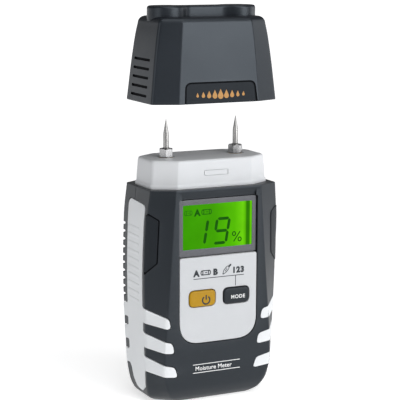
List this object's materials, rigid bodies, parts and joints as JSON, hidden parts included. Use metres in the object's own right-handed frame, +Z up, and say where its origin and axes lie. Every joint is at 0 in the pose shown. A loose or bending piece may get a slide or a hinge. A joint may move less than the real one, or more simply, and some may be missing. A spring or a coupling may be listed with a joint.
{
  "type": "pin moisture meter",
  "caption": "Handheld wood moisture meter with a backlit display, push buttons, soft side grips, steel measuring pins and a lift-off protective cap.",
  "frame": {"origin": "centre of the base, on the surface that the meter stands on", "axes": "+Z up towards the pins, -Y out of the display, +X to the right as the display is read"},
  "size_m": [0.0626, 0.0362, 0.1671],
  "materials": {
    "dark_plastic": "fine grained",
    "white_plastic": "satin",
    "white_grip": "soft satin",
    "orange_plastic": "satin",
    "black_rubber": "matt",
    "grey_window": "gloss with a printed grey border",
    "lcd_green": "backlit",
    "steel": "bright",
    "brass": "bright",
    "board_green": "solder mask",
    "component_black": "matt",
    "silicone": "matt",
    "cell_wrap": "printed sleeve"
  },
  "bodies": {
    "meter": {"front_shell": "dark_plastic", "rear_shell": "dark_plastic", "left_grip": "white_grip", "right_grip": "white_grip", "housing_screw_1": "steel", "housing_screw_2": "steel", "housing_screw_3": "steel", "housing_screw_4": "steel", "head_block": "white_plastic", "left_threaded_socket": "brass", "right_threaded_socket": "brass", "left_electrode_pin": "steel", "right_electrode_pin": "steel", "left_hex_nut": "steel", "right_hex_nut": "steel", "left_electrode_contact": "brass", "right_electrode_contact": "brass", "display_window": "grey_window", "control_panel": "white_plastic", "keypad_mat": "silicone", "lcd_frame": "component_black", "lcd_glass": "lcd_green", "lcd_backlight": "white_plastic", "lcd_connector_strip": "silicone", "main_board": "board_green", "left_board_screw": "steel", "right_board_screw": "steel", "microcontroller": "component_black", "measuring_amplifier": "component_black", "buzzer": "component_black", "capacitor": "steel", "battery_tray": "dark_plastic", "battery_cell_1": "cell_wrap", "battery_cell_2": "cell_wrap", "battery_cell_3": "cell_wrap", "battery_spring_1": "steel", "battery_spring_2": "steel", "battery_spring_3": "steel", "battery_contact_1": "steel", "battery_contact_2": "steel", "battery_contact_3": "steel"},
    "cap": {"cap_shell": "dark_plastic", "left_test_contact": "brass", "right_test_contact": "brass", "cap_test_board": "board_green", "reference_resistor": "component_black"},
    "power_key": {"power_button": "orange_plastic", "power_contact_pill": "component_black"},
    "mode_key": {"mode_button": "black_rubber", "mode_contact_pill": "component_black"},
    "battery_cover": {"battery_door": "dark_plastic"}
  },
  "joints": [
    {"name": "cap_lift", "type": "slide", "parent": "meter", "child": "cap", "axis": [0, 0, 1], "range_m": [-0.0352, 0]},
    {"name": "power_press", "type": "slide", "parent": "meter", "child": "power_key", "axis": [0, 1, 0], "range_m": [0, 0.0008], "stiffness_N_per_m": 1200, "springref_m": -0.0003},
    {"name": "mode_press", "type": "slide", "parent": "meter", "child": "mode_key", "axis": [0, 1, 0], "range_m": [0, 0.0008], "stiffness_N_per_m": 1200, "springref_m": -0.0003},
    {"name": "battery_door_swing", "type": "hinge", "parent": "meter", "child": "battery_cover", "pos_m": [0, 0.0169, 0.0691], "axis": [1, 0, 0], "range_deg": [0, 80]}
  ]
}
